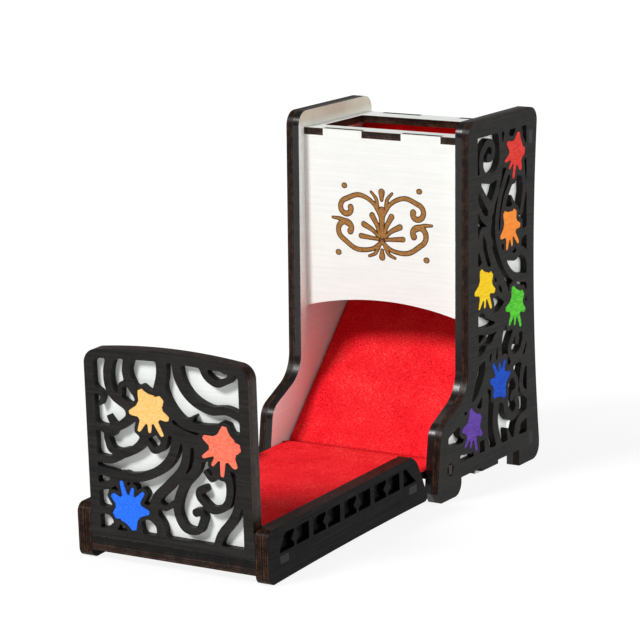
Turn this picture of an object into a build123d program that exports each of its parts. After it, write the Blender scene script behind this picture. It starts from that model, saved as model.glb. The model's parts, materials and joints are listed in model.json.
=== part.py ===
from build123d import *
import math
import os

os.makedirs("parts", exist_ok=True)

# Folding dice tower, millimetres. It stands deployed: the tower at the back, the tray in front of it.
# X runs across the tower, +Y points to the back, Z is up from the table.

# Sheet materials
ply = 3.0
felt = 1.5
fit_gap = 0.15
fold_gap = 0.35
swing_gap = 0.4

# Tower walls, measured from the front edge of the wall's top
inner_width = 74.0
wall_height = 152.0
wall_depth = 61.0
front_lean = 1.1
waist_height = 41.3
waist_radius = 14.0
knee_reach = 24.0
knee_height = 30.4
knee_radius = 8.0
toe_reach = 27.5
toe_height = 4.3
toe_flat = 24.3
corner_radius = 6.0
foot_radius = 5.5
front_foot_end = 7.1
rear_foot_start = 44.0
rear_foot_end = 62.5
rear_foot_height = 8.0
rear_waist_depth = 57.5
rear_waist_height = 78.0
belly_height = 7.0
belly_lug = 1.6
lug_start = 10.0
lug_end = 25.0
belly_drop = 1.5

# Scroll field of the outer wall layer
front_margin = 8.0
rear_margin = 6.5
top_margin = 7.0
field_bottom = 13.5
field_waist = 47.3
field_knee = 36.0
field_toe = -19.0
field_radius = 2.0

# Windows of the inner wall layer, below the exit ramp
low_window_y = (38.0, 52.0)
low_window_z = (11.0, 20.0)
high_window_y = (45.0, 55.8)
high_window_z = (33.5, 53.5)

# Front panel, top frame and back panel
panel_setback = 4.2
panel_bottom = 69.6
panel_arch = 5.0
roof_height = 145.3
finger_width = 18.6
throat_half_width = 32.4
throat_front = 13.0
throat_rear = 44.5
throat_radius = 1.5
back_front = 53.2
back_bottom = 70.0
tab_height = 5.5
lower_tab_bottom = 7.3
rear_rail_bottom = 5.3
rear_rail_top = 9.5
rear_rail_ear = 2.5

# Ramps: angle, height of the felt at the wall or panel that it starts from, and length of the slope
ramp_angle = 45.7
exit_ramp_height = 82.6
exit_ramp_length = 94.7
upper_ramp_height = 141.6
upper_ramp_length = 28.5
middle_ramp_height = 107.5
middle_ramp_length = 27.5

# Hinge and tray, measured from the hinge axis
pivot_reach = 16.4
pivot_height = 12.4
peg_width = 3.0
peg_height = 4.0
peg_gap = 0.1
bar_bottom = 5.0
lid_gap = 0.4
rail_top = 13.3
rail_bottom = 8.1
rail_arch = 1.0
rail_front_radius = 3.5
rail_rear_radius = 2.0
rail_window_front = 131.8
rail_window_rear = 28.6
rail_window_bottom = 2.9
rail_window_height = 7.0
rail_window_front_slant = 3.8
rail_window_rear_slant = 7.7
rail_bars = 9
rail_bar_width = 1.6
rail_wide_bar = 3.2
lozenge_share = 0.42
floor_tab_length = 6.0
floor_tab_inset = 11.0
floor_tab_rear = 31.1
end_panel_height = 77.1
end_panel_arch = 2.6
end_panel_border = 5.0
shoulder_height = 12.0
board_shoulder = 24.0

# Paint blots: one outline, as drips of (degrees, reach, half width, reach of the valley after it) in
# degrees and shares of the blot's size, turned and placed for each colour
blot_size = 9.7
blot_valley_width = 0.3
blot_margin = 2.4
blot_drips = (
    (2, 0.98, 0.12, 0.60),
    (52, 1.00, 0.075, 0.52),
    (84, 0.84, 0.07, 0.48),
    (118, 1.08, 0.085, 0.52),
    (164, 0.92, 0.13, 0.64),
    (222, 0.88, 0.24, 0.72),
    (292, 0.98, 0.18, 0.64),
)
wall_blots = {
    "red": (41.2, 134.2, 140),
    "orange": (36.5, 103.8, 196),
    "yellow": (14.2, 81.9, 182),
    "green": (41.4, 69.7, 176),
    "blue": (26.8, 40.7, 8),
    "purple": (3.1, 25.0, 170),
}
end_blots = {
    "orange": (-7.5, 53.3, 184),
    "red": (24.3, 42.4, 150),
    "blue": (-18.9, 14.9, 350),
}

# The scrollwork is drawn for a wall and an end panel of these sizes, and stretches with the real ones
wall_drawing = (61.0, 152.0)
end_drawing = (74.0, 77.1)
bend_step = 21.0

# Openings of the walls, between the scrolls: pointed leaves as start, middle, end and width
wall_leaves = [
    ((3, 128.4), (19, 130.6), (26.6, 142.5), 7.4),
    ((13, 149), (22, 147), (28, 138.6), 6.4),
    ((4, 122), (14, 122), (24, 128), 2.8),
    ((4, 114), (12.2, 116), (17, 121), 3.4),
    ((27, 149), (33.5, 146), (35.5, 139.5), 3.8),
    ((38, 149.5), (44.5, 145.2), (53, 146), 3.6),
    ((27.2, 136), (30.4, 137), (35, 133.5), 2.6),
    ((31.5, 132), (20, 121), (17.4, 103), 4.0),
    ((34.5, 128), (25.2, 117), (22.6, 100), 3.8),
    ((34.5, 121), (29.4, 114.5), (28, 105), 2.8),
    ((30, 117.4), (41.5, 120.8), (54, 124.5), 11.0),
    ((50.5, 133), (48.4, 121), (50.5, 110.5), 4.4),
    ((47.6, 109.4), (50.8, 104), (47.2, 98), 4.2),
    ((5.5, 113.5), (11.4, 105), (6, 95), 4.6),
    ((14, 115), (15, 103), (21.4, 91.5), 3.8),
    ((23.6, 97.4), (27, 90.8), (34, 84.6), 3.4),
    ((28.6, 97), (33, 91.8), (40, 90.6), 2.8),
    ((42, 90.6), (47.4, 92), (53, 98), 3.6),
    ((35, 87), (43.5, 84.2), (53, 88.6), 3.8),
    ((23, 90), (28.4, 80), (31.4, 68), 3.6),
    ((45.5, 82.4), (49.5, 80.6), (54, 78), 2.6),
    ((5, 93.8), (10.6, 93.2), (16.4, 94.8), 2.2),
    ((5, 69.8), (11.6, 70.8), (18.4, 70.6), 2.4),
    ((5, 62), (17, 63.8), (27, 73.6), 4.0),
    ((4, 55), (13.6, 56.8), (21.6, 64), 3.4),
    ((8.6, 41), (10.8, 50), (18.6, 57), 4.0),
    ((29.6, 71), (24, 62), (24.4, 51.4), 3.8),
    ((43.4, 61.6), (46.8, 54), (42.6, 45), 4.0),
    ((53, 62), (50.4, 46), (53, 30), 4.2),
    ((0.6, 35), (4.8, 40.2), (6, 47), 2.6),
    ((17, 53), (14.4, 43.5), (18.6, 33.5), 3.4),
    ((10.5, 40), (11.8, 33.6), (14.6, 26), 2.8),
    ((39.6, 42), (45.6, 37.2), (46.5, 29.2), 7.0),
    ((18.6, 32), (20.8, 23.6), (16.4, 13.5), 6.4),
    ((25, 31), (27.4, 22.5), (24.4, 13), 5.6),
    ((31.4, 31), (36, 21.8), (41.4, 13), 8.0),
    ((-18.4, 21.4), (-13.5, 25.4), (-7.8, 25.2), 4.6),
    ((-9, 15.6), (-2.5, 14.6), (3, 14.2), 1.8),
    ((8.6, 20), (11.8, 17), (13.6, 13), 2.8),
    ((42.6, 18.5), (46.6, 15.8), (53, 17.6), 3.6),
]

# Curling openings of the walls: start, heading, arcs of (radius, degrees left), width at start and tip
wall_curls = [
    ((9.6, 147), 264, [(8.4, 85), (5.2, 120), (2.9, 110)], 3.6, 2.0),
    ((31.4, 64.5), 296, [(7.4, 60), (4.4, 100), (2.8, 100)], 3.0, 1.9),
    ((31, 50.4), 350, [(22, 40)], 2.8, 1.8),
    ((53, 29), 222, [(8.4, -60), (4.8, -110), (2.6, -100)], 3.2, 1.9),
]

# Scrolls of the end panel, across its open field, in the same form as the curls
end_scrolls = [
    ((-21, 77), 240, [(28, 64)], 4.6, 5.0),
    ((-14.5, 77), 246, [(18, 56)], 3.4, 4.4),
    ((-1, 78), 268, [(60, 12)], 9.5, 8.0),
    ((6, 78), 282, [(26, 70), (30, 14)], 5.0, 5.6),
    ((-4, 62), 302, [(28, 44)], 8.0, 12.0),
    ((-3, 46.5), 350, [(60, 18)], 8.0, 10.0),
    ((-36, 43.2), 350, [(36, 36)], 2.8, 5.0),
    ((-36, 35), 346, [(37, 62)], 3.4, 5.0),
    ((-30, 26.5), 8, [(56, 38)], 4.8, 4.0),
    ((-13, 22), 16, [(46, 40)], 5.4, 4.0),
    ((10.5, 43), 232, [(70, 42)], 4.8, 6.4),
    ((-36, 18), 10, [(60, -16)], 16.0, 13.0),
    ((-36, 5), 8, [(60, -18)], 7.0, 6.0),
    ((14, 45), 236, [(38, 42), (7.8, 128), (4, 44)], 5.0, 4.4),
    ((25.5, 36), 276, [(30, -40), (12, -26)], 4.4, 4.2),
    ((33.6, 42), 271, [(48, -38), (30, -8)], 4.4, 5.4),
    ((17, 38), 262, [(14, 30), (5, 44)], 4.6, 5.2),
    ((2.5, 42.5), 232, [(7, -44), (3, -30)], 3.6, 4.2),
    ((30, 76), 268, [(9, -50), (3.6, -110)], 3.4, 4.8),
    ((-23.5, 52), 262, [(7, 70)], 5.4, 7.0),
]

# Small leaves cut into the end panel's closed places
end_leaves = [
    ((0.8, 50), (3.2, 46), (2.4, 41), 2.2),
    ((9.4, 48.5), (10.8, 45), (9.8, 41.5), 2.0),
    ((-32, 24.5), (-30.4, 21.5), (-31.5, 17), 2.0),
    ((-33, 12), (-31.4, 9), (-33, 6), 1.8),
    ((-8.5, 21.5), (-6.4, 17.5), (-7.4, 12.5), 2.2),
    ((-34, 5.6), (-30, 5.3), (-26, 5.6), 1.4),
    ((-12, 5.6), (-8.5, 5.2), (-5, 5.6), 1.6),
]

# The tray leans forward until its rounded front corners touch the table
wall_half = inner_width / 2
outer_half = wall_half + 2 * ply
tray_reach = wall_height - pivot_height - lid_gap
lean_run = tray_reach - rail_front_radius
lean_drop = rail_bottom - rail_front_radius
lean_rise = pivot_height - rail_front_radius
tray_lean = math.asin(lean_rise / math.hypot(lean_run, lean_drop)) - math.atan2(lean_drop, lean_run)
lean_cos = math.cos(tray_lean)
lean_sin = math.sin(tray_lean)
upper_tab_bottom = roof_height - ply - tab_height
tray_front = pivot_reach + tray_reach * lean_cos + end_panel_height * lean_sin

# The frame's Y zero is midway between the tray's front and the rear feet
tower_y = (tray_front - rear_foot_end) / 2
pivot_y = tower_y - pivot_reach

tower_side = Plane(origin=(0, tower_y, 0), x_dir=(0, 1, 0), z_dir=(1, 0, 0))
tower_front = Plane(origin=(0, tower_y, 0), x_dir=(1, 0, 0), z_dir=(0, -1, 0))
tower_level = Plane(origin=(0, tower_y, 0), x_dir=(1, 0, 0), z_dir=(0, 0, 1))
pivot = (0, pivot_y, pivot_height)
tray_side = Plane(origin=pivot, x_dir=(0, lean_cos, lean_sin), z_dir=(1, 0, 0))
tray_face = Plane(origin=pivot, x_dir=(1, 0, 0), z_dir=(0, -lean_cos, -lean_sin))
tray_level = Plane(origin=pivot, x_dir=(1, 0, 0), z_dir=(0, -lean_sin, lean_cos))


def corner(vertices, y, z):
    """The sketch vertex nearest to a point"""
    return min(vertices, key=lambda v: math.hypot(v.X - y, v.Y - z))


def wall_outline(belly):
    """Side wall seen from +X with the front on the left; belly is its lower edge between the feet"""
    corners = [
        (0, wall_height),
        (-front_lean, waist_height),
        (-knee_reach, knee_height),
        (-toe_reach, toe_height),
        (-toe_flat, 0),
        (-front_foot_end, 0),
        (-front_foot_end, belly),
        (lug_start, belly),
        (lug_start, belly - belly_lug),
        (lug_end, belly - belly_lug),
        (lug_end, belly),
        (rear_foot_start, belly),
        (rear_foot_start, 0),
        (rear_foot_end, 0),
        (rear_foot_end, rear_foot_height),
    ]
    radii = [
        (corners[0], corner_radius),
        (corners[1], waist_radius),
        (corners[2], knee_radius),
        (corners[5], foot_radius),
        (corners[8], belly_lug / 3),
        (corners[9], belly_lug / 3),
        (corners[13], corner_radius),
        ((wall_depth, wall_height), corner_radius),
    ]
    with BuildSketch() as outline:
        with BuildLine():
            Polyline(corners)
            ThreePointArc(corners[-1], (rear_waist_depth, rear_waist_height), (wall_depth, wall_height))
            Line((wall_depth, wall_height), corners[0])
        make_face()
        for point, radius in radii:
            fillet(corner(outline.vertices(), *point), radius=radius)
    return outline.sketch


def grown(points, gap):
    """A closed line of points, anticlockwise, moved outwards by a gap on every side"""
    result = []
    for index, (y, z) in enumerate(points):
        back_y, back_z = points[index - 1]
        next_y, next_z = points[(index + 1) % len(points)]
        arriving = math.atan2(z - back_z, y - back_y)
        leaving = math.atan2(next_z - z, next_y - y)
        half_bend = (leaving - arriving + math.pi) % (2 * math.pi) / 2 - math.pi / 2
        outward = arriving + half_bend - math.pi / 2
        reach = gap / math.cos(half_bend)
        result.append((y + reach * math.cos(outward), z + reach * math.sin(outward)))
    return result


def drips_and_next():
    """Each drip of a blot with the direction of the drip that follows it"""
    following = [drip[0] for drip in blot_drips[1:]] + [blot_drips[0][0] + 360]
    return zip(blot_drips, following)


def blot_line(y, z, turn):
    """Points round a paint blot with seven drips of uneven length, anticlockwise"""
    points = []
    for (degrees, reach, half_width, valley_reach), degrees_next in drips_and_next():
        angle = math.radians(turn + degrees)
        tip = blot_size * half_width
        centre = blot_size * reach - tip
        for bend in (-90, -32, 32, 90):
            out = centre + tip * math.cos(math.radians(bend))
            across = tip * math.sin(math.radians(bend))
            points.append(
                (
                    y + out * math.cos(angle) - across * math.sin(angle),
                    z + out * math.sin(angle) + across * math.cos(angle),
                )
            )
        depth = blot_size * valley_reach
        for share in (0.5 - blot_valley_width / 2, 0.5 + blot_valley_width / 2):
            valley = math.radians(turn + degrees + (degrees_next - degrees) * share)
            points.append((y + depth * math.cos(valley), z + depth * math.sin(valley)))
    return points


def blot_patch(y, z, turn):
    """The closed place round a blot: a corner beyond each drip and one between them"""
    points = []
    for (degrees, reach, half_width, valley_reach), degrees_next in drips_and_next():
        angle = math.radians(turn + degrees)
        between = math.radians(turn + (degrees + degrees_next) / 2)
        far = blot_size * reach + blot_margin
        near = blot_size * reach * math.cos(between - angle) + blot_margin
        points.append((y + far * math.cos(angle), z + far * math.sin(angle)))
        points.append((y + near * math.cos(between), z + near * math.sin(between)))
    return points


def filled(points):
    """Sketch of a closed line of points"""
    with BuildSketch() as shape:
        Polygon(*points, align=None)
    return shape.sketch


def stretched(points, drawing, size):
    """Points of a drawing of one size, moved to their places on a panel of another"""
    return [(y * size[0] / drawing[0], z * size[1] / drawing[1]) for y, z in points]


def arc_through(start, middle, end):
    """Points along the circle through three points, at about equal bends"""
    (ay, az), (by, bz), (cy, cz) = start, middle, end
    twice = 2 * (ay * (bz - cz) + by * (cz - az) + cy * (az - bz))
    squares = (ay * ay + az * az, by * by + bz * bz, cy * cy + cz * cz)
    centre_y = (squares[0] * (bz - cz) + squares[1] * (cz - az) + squares[2] * (az - bz)) / twice
    centre_z = (squares[0] * (cy - by) + squares[1] * (ay - cy) + squares[2] * (by - ay)) / twice
    radius = math.hypot(ay - centre_y, az - centre_z)
    first = math.atan2(az - centre_z, ay - centre_y)
    sweep = (math.atan2(cz - centre_z, cy - centre_y) - first) % (2 * math.pi)
    if (math.atan2(bz - centre_z, by - centre_y) - first) % (2 * math.pi) > sweep:
        sweep -= 2 * math.pi
    steps = max(2, round(abs(math.degrees(sweep)) / bend_step))
    angles = [first + sweep * index / steps for index in range(steps + 1)]
    return [(centre_y + radius * math.cos(a), centre_z + radius * math.sin(a)) for a in angles]


def leaf(start, middle, end, width):
    """Points round a bent leaf, pointed at both ends"""
    length = math.hypot(end[0] - start[0], end[1] - start[1])
    across_y = -(end[1] - start[1]) / length * width / 2
    across_z = (end[0] - start[0]) / length * width / 2
    left = arc_through(start, (middle[0] + across_y, middle[1] + across_z), end)
    right = arc_through(start, (middle[0] - across_y, middle[1] - across_z), end)
    return right + left[-2:0:-1]


def scroll(start, heading, turns, width, tip):
    """Points round a tapering ribbon along arcs of (radius, degrees left), with a blunt nose"""
    total = sum(radius * abs(math.radians(turn)) for radius, turn in turns)
    walked = 0.0
    y, z = start
    angle = math.radians(heading)
    left = [(y - math.sin(angle) * width / 2, z + math.cos(angle) * width / 2)]
    right = [(y + math.sin(angle) * width / 2, z - math.cos(angle) * width / 2)]
    for radius, turn in turns:
        side = 1 if turn > 0 else -1
        centre = (y - math.sin(angle) * radius * side, z + math.cos(angle) * radius * side)
        steps = max(1, round(abs(turn) / bend_step))
        for index in range(steps):
            angle += math.radians(turn) / steps
            walked += radius * abs(math.radians(turn)) / steps
            y = centre[0] + math.sin(angle) * radius * side
            z = centre[1] - math.cos(angle) * radius * side
            half = (width + (tip - width) * walked / total) / 2
            left.append((y - math.sin(angle) * half, z + math.cos(angle) * half))
            right.append((y + math.sin(angle) * half, z - math.cos(angle) * half))
    nose = (y + math.cos(angle) * tip / 2, z + math.sin(angle) * tip / 2)
    return right + [nose] + left[::-1]


def wall_field():
    """The part of the outer wall layer that the scrollwork fills"""
    rear = rear_waist_depth - rear_margin
    top = wall_height - top_margin
    with BuildSketch() as field:
        Polygon(
            (front_margin, top),
            (front_margin, field_waist),
            (field_toe, field_knee),
            (field_toe, field_bottom),
            (rear, field_bottom),
            (rear, top),
            align=None,
        )
        chamfer(field.vertices(), length=field_radius)
    return field.sketch


def on_wall(points):
    return stretched(points, wall_drawing, (wall_depth, wall_height))


def wall_fret():
    """Outer wall layer: its outline with leaves and curls cut from the field, but not near the blots"""
    with BuildSketch() as openings:
        for strokes in wall_leaves:
            add(filled(on_wall(leaf(*strokes))))
        for strokes in wall_curls:
            add(filled(on_wall(scroll(*strokes))))
        add(wall_field(), mode=Mode.INTERSECT)
        for blot in wall_blots.values():
            add(filled(on_wall(blot_patch(*blot))), mode=Mode.SUBTRACT)
    with BuildSketch() as fret:
        add(wall_outline(belly_height))
        add(openings.sketch, mode=Mode.SUBTRACT)
        for blot in wall_blots.values():
            add(filled(grown(on_wall(blot_line(*blot)), fit_gap)), mode=Mode.SUBTRACT)
    return fret.sketch


def joinery_holes():
    """Hinge hole and tab slots that go through both wall layers"""
    with BuildSketch() as holes:
        with Locations((-pivot_reach, pivot_height)):
            Circle(math.hypot(peg_width, peg_height) / 2 + peg_gap)
        for bottom in (lower_tab_bottom, upper_tab_bottom):
            with Locations((back_front + ply / 2, bottom + tab_height / 2)):
                Rectangle(ply, tab_height)
    return holes.sketch


fret_sketch = wall_fret()
for side, outer_x, inner_x in (
    ("right", wall_half + ply, wall_half),
    ("left", -outer_half, -wall_half - ply),
):
    # Outer wall layer, cut as fretwork
    with BuildPart() as wall_outer:
        with BuildSketch(tower_side.offset(outer_x)):
            add(fret_sketch)
            add(joinery_holes(), mode=Mode.SUBTRACT)
        extrude(amount=ply)
    wall_outer.part.label = f"wall_outer_{side}"
    export_step(wall_outer.part, f"parts/wall_outer_{side}.step")

    # Inner wall layer, closed but for two windows behind the exit ramp
    with BuildPart() as wall_inner:
        with BuildSketch(tower_side.offset(inner_x)):
            add(wall_outline(belly_height - belly_drop))
            for (y0, y1), (z0, z1) in ((low_window_y, low_window_z), (high_window_y, high_window_z)):
                with Locations(((y0 + y1) / 2, (z0 + z1) / 2)):
                    Rectangle(y1 - y0, z1 - z0, mode=Mode.SUBTRACT)
            add(joinery_holes(), mode=Mode.SUBTRACT)
        extrude(amount=ply)
    wall_inner.part.label = f"wall_inner_{side}"
    export_step(wall_inner.part, f"parts/wall_inner_{side}.step")

    # Paint blots set into the outer layer
    for colour, blot in wall_blots.items():
        with BuildPart() as wall_blot:
            with BuildSketch(tower_side.offset(outer_x)):
                add(filled(on_wall(blot_line(*blot))))
            extrude(amount=ply)
        wall_blot.part.label = f"blot_{colour}_{side}"
        export_step(wall_blot.part, f"parts/blot_{colour}_{side}.step")


def finger_row(depth_from, depth_to):
    """Rectangles of the finger joint that belong to the upright panel, in the plan of the roof"""
    with BuildSketch() as row:
        for side in (-1, 1):
            middle = side * finger_width
            with Locations((middle, (depth_from + depth_to) / 2)):
                Rectangle(finger_width, depth_to - depth_from)
    return row.sketch


# Front panel, with the arched lower edge over the exit and two fingers into the top frame
with BuildPart() as front_panel:
    with BuildSketch(tower_front.offset(-panel_setback - ply)):
        with BuildLine():
            ThreePointArc((-wall_half, panel_bottom), (0, panel_bottom + panel_arch), (wall_half, panel_bottom))
            Polyline(
                (wall_half, panel_bottom),
                (wall_half, roof_height - ply),
                (-wall_half, roof_height - ply),
                (-wall_half, panel_bottom),
            )
        make_face()
        for side in (-1, 1):
            with Locations((side * finger_width, roof_height - ply / 2)):
                Rectangle(finger_width, ply)
    extrude(amount=ply)
front_panel.part.label = "front_panel"
export_step(front_panel.part, "parts/front_panel.step")

# Top frame around the throat, lying between the front and back panels
with BuildPart() as top_frame:
    with BuildSketch(tower_level.offset(roof_height - ply)):
        with Locations((0, (panel_setback + back_front + ply) / 2)):
            Rectangle(inner_width, back_front + ply - panel_setback)
        with Locations((0, (throat_front + throat_rear) / 2)):
            RectangleRounded(2 * throat_half_width, throat_rear - throat_front, throat_radius, mode=Mode.SUBTRACT)
        add(finger_row(panel_setback, panel_setback + ply), mode=Mode.SUBTRACT)
        add(finger_row(back_front, back_front + ply), mode=Mode.SUBTRACT)
    extrude(amount=ply)
top_frame.part.label = "top_frame"
export_step(top_frame.part, "parts/top_frame.step")

# Back panel, from the top frame down to the head of the exit ramp, with a tab through each wall
with BuildPart() as back_panel:
    with BuildSketch(tower_front.offset(-back_front - ply)):
        with Locations((0, (back_bottom + roof_height - ply) / 2)):
            Rectangle(inner_width, roof_height - ply - back_bottom)
        for side in (-1, 1):
            with Locations((side * finger_width, roof_height - ply / 2)):
                Rectangle(finger_width, ply)
        with Locations((0, upper_tab_bottom + tab_height / 2)):
            Rectangle(2 * outer_half, tab_height)
    extrude(amount=ply)
back_panel.part.label = "back_panel"
export_step(back_panel.part, "parts/back_panel.step")

# Low rail that ties the rear feet, with ears that rise to its tabs
with BuildPart() as rear_rail:
    with BuildSketch(tower_front.offset(-back_front - ply)):
        with Locations((0, (rear_rail_bottom + rear_rail_top) / 2)):
            Rectangle(inner_width, rear_rail_top - rear_rail_bottom)
        with Locations((0, lower_tab_bottom + tab_height / 2)):
            Rectangle(2 * outer_half, tab_height)
        with Locations((0, rear_rail_top + tab_height / 2)):
            Rectangle(inner_width - 2 * rear_rail_ear, tab_height, mode=Mode.SUBTRACT)
    extrude(amount=ply)
rear_rail.part.label = "rear_rail"
export_step(rear_rail.part, "parts/rear_rail.step")


def ramp_profile(head_y, head_z, run, low, high):
    """Slanted board seen from +X: run is the slope's length, signed by the way it leads; low and high
    are the board's two faces below the sloping line; the head is cut upright where it meets its panel"""
    way = 1 if run > 0 else -1
    slope = math.radians(ramp_angle)
    down = (math.cos(slope) * way, -math.sin(slope))
    under = (-math.sin(slope) * way, -math.cos(slope))
    foot = (head_y + down[0] * abs(run), head_z + down[1] * abs(run))
    with BuildSketch() as board:
        with BuildLine():
            Polyline(
                (head_y, head_z - high / math.cos(slope)),
                (foot[0] + under[0] * high, foot[1] + under[1] * high),
                (foot[0] + under[0] * low, foot[1] + under[1] * low),
                (head_y, head_z - low / math.cos(slope)),
                close=True,
            )
        make_face()
    return board.sketch


ramps = (
    ("exit_ramp", back_front, exit_ramp_height, -exit_ramp_length),
    ("upper_ramp", back_front, upper_ramp_height, -upper_ramp_length),
    ("middle_ramp", panel_setback + ply, middle_ramp_height, middle_ramp_length),
)
for name, head_y, head_z, run in ramps:
    # Ramp board
    with BuildPart() as ramp:
        with BuildSketch(tower_side.offset(-wall_half)):
            add(ramp_profile(head_y, head_z, run, felt + ply, felt))
        extrude(amount=inner_width)
    ramp.part.label = name
    export_step(ramp.part, f"parts/{name}.step")

    # Its felt
    with BuildPart() as ramp_felt:
        with BuildSketch(tower_side.offset(-wall_half + swing_gap)):
            add(ramp_profile(head_y, head_z, run, felt, 0))
        extrude(amount=inner_width - 2 * swing_gap)
    ramp_felt.part.label = f"{name}_felt"
    export_step(ramp_felt.part, f"parts/{name}_felt.step")


def tray_board(rear, tabs):
    """Plan of a tray board: as wide as the rails' inside along them, narrower between the tower walls"""
    with BuildSketch() as board:
        with Locations((0, (-tray_reach - board_shoulder) / 2)):
            Rectangle(inner_width, tray_reach - board_shoulder)
        if rear > -board_shoulder:
            with Locations((0, (-board_shoulder + rear) / 2)):
                Rectangle(inner_width - 2 * swing_gap, board_shoulder + rear)
        if tabs:
            for y in (-tray_reach + floor_tab_inset, -floor_tab_rear):
                with Locations((0, y)):
                    Rectangle(2 * outer_half, floor_tab_length)
    return board.sketch


# The rails' rear ends follow the wall's front edge, turned a quarter about the hinge
rail_waist = (-(waist_height - pivot_height) - fold_gap, pivot_reach - front_lean - fold_gap)
knee_slope = (waist_height - knee_height) / (knee_reach - front_lean)
rail_rear = rail_waist[0] + (rail_waist[1] + rail_bottom) * knee_slope


def rail_outline():
    """Tray rail seen from +X, in the tray's own frame: the wall's waist and knee, turned, give its rear end"""
    depth = rail_waist[1] + rail_bottom + rail_top
    knee = (rail_waist[0] + depth * knee_slope, rail_waist[1] - depth)
    far = tray_reach * 2
    with BuildSketch() as rail:
        with BuildLine():
            ThreePointArc(
                (-tray_reach, -rail_bottom),
                (-tray_reach / 2, -rail_bottom + rail_arch),
                (0, -rail_bottom),
            )
            Polyline((0, -rail_bottom), (0, rail_top), (-tray_reach, rail_top), (-tray_reach, -rail_bottom))
        make_face()
        with BuildSketch(mode=Mode.INTERSECT) as clear:
            Polygon(knee, rail_waist, (-far, rail_waist[1]), (-far, knee[1]), align=None)
            fillet(corner(clear.vertices(), *rail_waist), radius=waist_radius - fold_gap)
        fillet(corner(rail.vertices(), -tray_reach, -rail_bottom), radius=rail_front_radius)
        fillet(corner(rail.vertices(), -tray_reach, rail_top), radius=rail_front_radius)
        fillet(corner(rail.vertices(), rail_rear, -rail_bottom), radius=rail_rear_radius)
    return rail.sketch


def rail_window():
    """Long slanted window of the rail's outer layer, crossed by plain bars and lozenges"""
    low = rail_window_bottom
    high = rail_window_bottom + rail_window_height
    front = -rail_window_front
    rear = -rail_window_rear
    pitch = (rear - front) / rail_bars
    with BuildSketch() as window:
        Polygon(
            (front, low),
            (rear, low),
            (rear - rail_window_rear_slant, high),
            (front + rail_window_front_slant, high),
            align=None,
        )
        for index in range(1, rail_bars):
            y = front + index * pitch
            with Locations((y, (low + high) / 2)):
                if index % 2:
                    Rectangle(rail_bar_width, rail_window_height + ply, mode=Mode.SUBTRACT)
                    RegularPolygon(rail_window_height * lozenge_share, 4, mode=Mode.SUBTRACT)
                else:
                    Rectangle(rail_wide_bar, rail_window_height + ply, mode=Mode.SUBTRACT)
    return window.sketch


def rail_slots():
    """Slots for the floor's tabs"""
    with BuildSketch() as slots:
        for y in (-tray_reach + floor_tab_inset, -floor_tab_rear):
            with Locations((y, 0)):
                Rectangle(floor_tab_length, ply)
    return slots.sketch


for side, outer_x, inner_x in (
    ("right", wall_half + ply, wall_half),
    ("left", -outer_half, -wall_half - ply),
):
    # Outer rail layer with its window
    with BuildPart() as rail_outer:
        with BuildSketch(tray_side.offset(outer_x)):
            add(rail_outline())
            add(rail_window(), mode=Mode.SUBTRACT)
            add(rail_slots(), mode=Mode.SUBTRACT)
        extrude(amount=ply)
    rail_outer.part.label = f"rail_outer_{side}"
    export_step(rail_outer.part, f"parts/rail_outer_{side}.step")

    # Inner rail layer
    with BuildPart() as rail_inner:
        with BuildSketch(tray_side.offset(inner_x)):
            add(rail_outline())
            add(rail_slots(), mode=Mode.SUBTRACT)
        extrude(amount=ply)
    rail_inner.part.label = f"rail_inner_{side}"
    export_step(rail_inner.part, f"parts/rail_inner_{side}.step")

# Tray floor with tabs through the rails
with BuildPart() as tray_floor:
    with BuildSketch(tray_level.offset(-ply / 2)):
        add(tray_board(-peg_width / 2, True))
    extrude(amount=ply)
tray_floor.part.label = "tray_floor"
export_step(tray_floor.part, "parts/tray_floor.step")

# Second board under the floor, which the rails hide
with BuildPart() as tray_base:
    with BuildSketch(tray_level.offset(-1.5 * ply)):
        add(tray_board(-board_shoulder, False))
    extrude(amount=ply)
tray_base.part.label = "tray_base"
export_step(tray_base.part, "parts/tray_base.step")

# Felt on the floor, from the end panel to the rear of the hinge bar
with BuildPart() as tray_felt:
    with BuildSketch(tray_level.offset(ply / 2)):
        with Locations((0, (-tray_reach + 2 * ply + swing_gap + peg_width / 2) / 2)):
            Rectangle(inner_width - 2 * swing_gap, tray_reach - 2 * ply - swing_gap + peg_width / 2)
    extrude(amount=felt)
tray_felt.part.label = "tray_felt"
export_step(tray_felt.part, "parts/tray_felt.step")

# Hinge bar across the tray's rear end; its pegs turn in the walls' round holes
with BuildPart() as hinge_bar:
    with BuildSketch(tray_face.offset(-peg_width / 2)):
        with Locations((0, (ply / 2 - bar_bottom) / 2)):
            Rectangle(inner_width - 2 * swing_gap, ply / 2 + bar_bottom)
        for side in (-1, 1):
            with Locations((side * (outer_half + wall_half - swing_gap) / 2, 0)):
                Rectangle(2 * ply + swing_gap, peg_height)
    extrude(amount=peg_width)
hinge_bar.part.label = "hinge_bar"
export_step(hinge_bar.part, "parts/hinge_bar.step")


def end_outline():
    """End panel: as wide as the rails' inside at its foot, a little narrower above, with an arched top"""
    foot = ply / 2
    narrow = wall_half - swing_gap
    top = end_panel_height - end_panel_arch
    with BuildSketch() as panel:
        with BuildLine():
            Polyline(
                (-narrow, top),
                (-narrow, shoulder_height),
                (-wall_half, shoulder_height),
                (-wall_half, foot),
                (wall_half, foot),
                (wall_half, shoulder_height),
                (narrow, shoulder_height),
                (narrow, top),
            )
            ThreePointArc((narrow, top), (0, end_panel_height), (-narrow, top))
        make_face()
        for side in (-1, 1):
            fillet(corner(panel.vertices(), side * narrow, top), radius=corner_radius)
    return panel.sketch


def on_end(points):
    return stretched(points, end_drawing, (inner_width, end_panel_height))


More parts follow.
